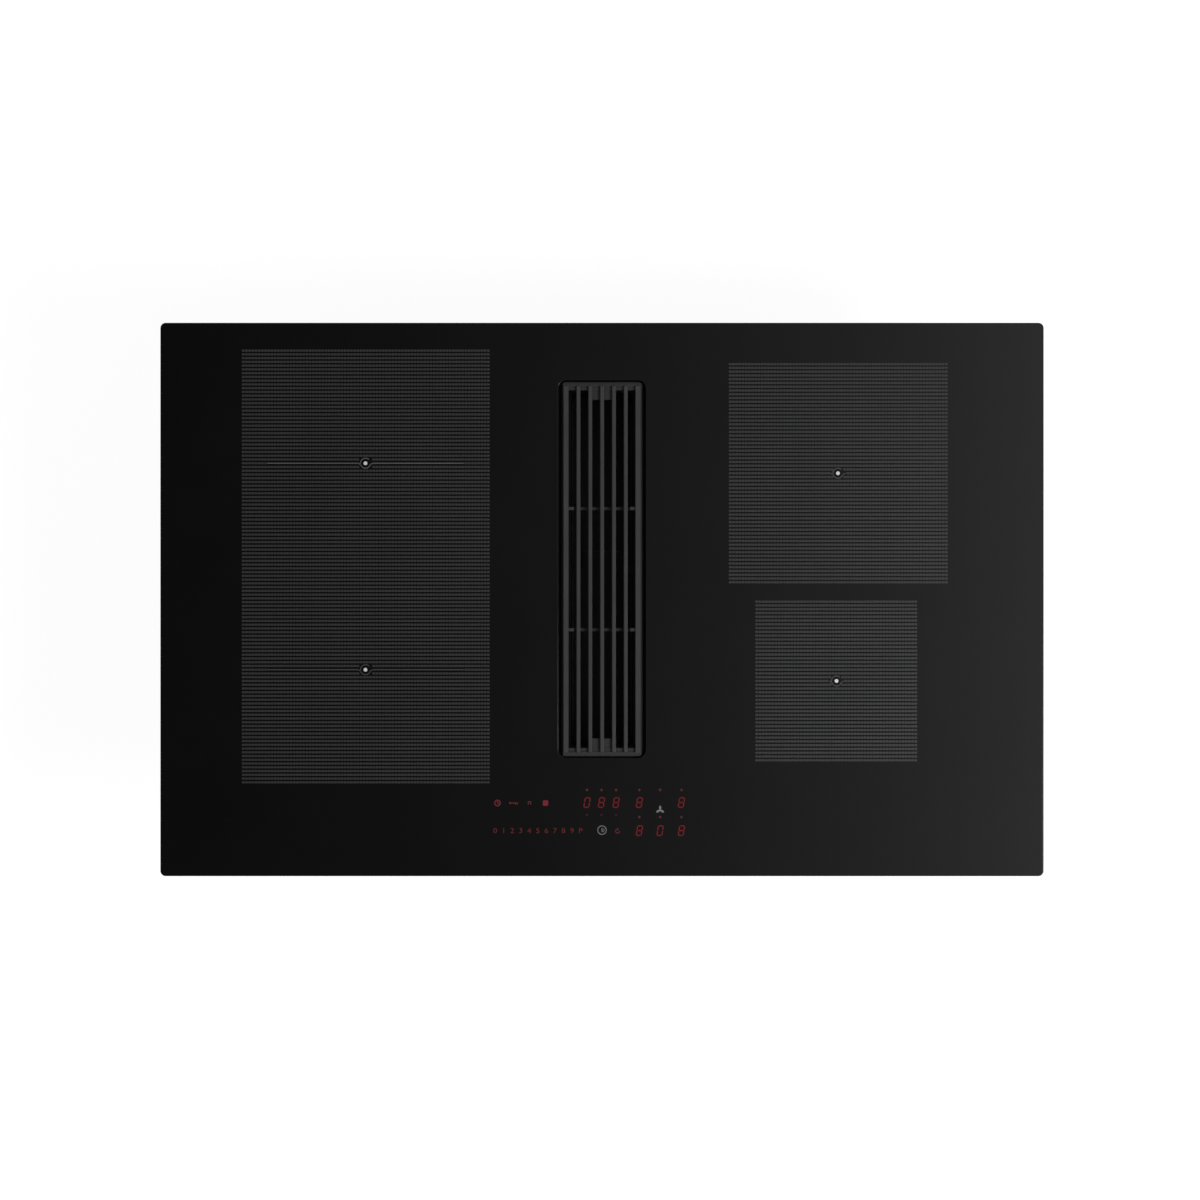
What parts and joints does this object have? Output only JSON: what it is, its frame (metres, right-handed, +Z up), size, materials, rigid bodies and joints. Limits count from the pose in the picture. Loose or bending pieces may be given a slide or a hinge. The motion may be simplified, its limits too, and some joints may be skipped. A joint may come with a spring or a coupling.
{
  "type": "downdraft induction cooktop",
  "caption": "Black glass induction cooktop with a central downdraft grille, lift-out grease filter, air box, radial blower, flat duct outlet and drip drawer.",
  "frame": {"origin": "centre of the worktop cut-out at the worktop's top face, which is the underside of the sealing tape round the glass", "axes": "+X to the cook's right along the glass's long side, +Y away from the cook, +Z up out of the worktop"},
  "size_m": [0.83, 0.52, 0.2105],
  "materials": {
    "black_glass": "black glass-ceramic, satin, with dark grey dashed zone prints",
    "sealing_foam": "closed-cell foam tape",
    "galvanised_steel": "galvanised sheet, satin",
    "spring_steel": "spring steel strip",
    "copper_litz": "enamelled copper litz",
    "coil_carrier_metal": "aluminium plate with dark ferrite bars",
    "white_ceramic": "white ceramic or moulding, matt",
    "bare_aluminium": "bare aluminium sheet and extrusion",
    "filter_mesh_metal": "layers of expanded metal mesh, coated black",
    "circuit_board": "green solder mask",
    "black_plastic": "black moulding, fine grain",
    "grey_plastic": "dark grey moulding",
    "red_display": "red LED module",
    "grille_casting": "matt black coated casting",
    "silicone": "grey silicone",
    "black_steel": "matt black coated sheet",
    "polished_steel": "polished steel wire and bar"
  },
  "bodies": {
    "hob": {"glass_top": "black_glass", "sealing_tape": "sealing_foam", "base_pan": "galvanised_steel", "blower_motor": "galvanised_steel", "side_spring_front_left": "spring_steel", "side_spring_rear_left": "spring_steel", "side_spring_front_right": "spring_steel", "side_spring_rear_right": "spring_steel", "coil_winding_rear_left": "copper_litz", "coil_winding_front_left": "copper_litz", "coil_winding_rear_right": "copper_litz", "coil_winding_front_right": "copper_litz", "coil_carrier_rear_left": "coil_carrier_metal", "coil_carrier_front_left": "coil_carrier_metal", "coil_carrier_rear_right": "coil_carrier_metal", "coil_carrier_front_right": "coil_carrier_metal", "zone_sensor_rear_left": "white_ceramic", "zone_sensor_front_left": "white_ceramic", "zone_sensor_rear_right": "white_ceramic", "zone_sensor_front_right": "white_ceramic", "terminal_block": "white_ceramic", "coil_support_plate_left": "bare_aluminium", "coil_support_plate_right": "bare_aluminium", "heatsink_left": "bare_aluminium", "heatsink_right": "bare_aluminium", "power_board_left": "circuit_board", "power_board_right": "circuit_board", "touch_board": "circuit_board", "cooling_fan_case_left": "black_plastic", "cooling_fan_case_right": "black_plastic", "air_box_upper": "black_plastic", "air_box_lower": "black_plastic", "drip_sump": "black_plastic", "volute_housing": "black_plastic", "duct_spigot": "black_plastic", "extractor_control_box": "black_plastic", "extractor_control_lid": "black_plastic", "cable_gland": "black_plastic", "control_tray": "grey_plastic", "blower_inlet_ring": "grey_plastic", "terminal_box": "grey_plastic", "terminal_lid": "grey_plastic", "timer_display": "red_display", "zone_display_left": "red_display", "zone_display_right": "red_display", "fan_display": "red_display", "inlet_frame": "black_steel"},
    "grease_filter": {"filter_basket": "black_steel", "filter_mesh_left": "filter_mesh_metal", "filter_mesh_right": "filter_mesh_metal"},
    "filter_bail": {"filter_handle": "black_steel"},
    "air_grille": {"grille": "grille_casting", "grille_pad_front": "silicone", "grille_pad_rear": "silicone"},
    "drip_tray": {"drip_drawer": "grey_plastic"},
    "blower_rotor": {"impeller": "grey_plastic", "motor_shaft": "polished_steel"},
    "fan_rotor_left": {"cooling_fan_rotor_left": "grey_plastic"},
    "fan_rotor_right": {"cooling_fan_rotor_right": "grey_plastic"}
  },
  "joints": [
    {"name": "filter_lift", "type": "slide", "parent": "hob", "child": "grease_filter", "axis": [0, 0, 1], "range_m": [0, 0.18]},
    {"name": "grille_lift", "type": "slide", "parent": "grease_filter", "child": "air_grille", "axis": [0, 0, 1], "range_m": [0, 0.12]},
    {"name": "filter_handle_fold", "type": "hinge", "parent": "grease_filter", "child": "filter_bail", "pos_m": [0, 0.0285, -0.0287], "axis": [1, 0, 0], "range_deg": [0, 90]},
    {"name": "drip_drawer_slide", "type": "slide", "parent": "hob", "child": "drip_tray", "axis": [0, -1, 0], "range_m": [0, 0.33]},
    {"name": "impeller_spin", "type": "hinge", "parent": "hob", "child": "blower_rotor", "pos_m": [-0.205, 0.062, -0.16], "axis": [0, 0, 1], "continuous": true},
    {"name": "cooling_fan_spin_left", "type": "hinge", "parent": "hob", "child": "fan_rotor_left", "pos_m": [-0.25, -0.108, -0.036], "axis": [0, 0, 1], "continuous": true},
    {"name": "cooling_fan_spin_right", "type": "hinge", "parent": "hob", "child": "fan_rotor_right", "pos_m": [0.25, -0.108, -0.036], "axis": [0, 0, 1], "continuous": true}
  ]
}
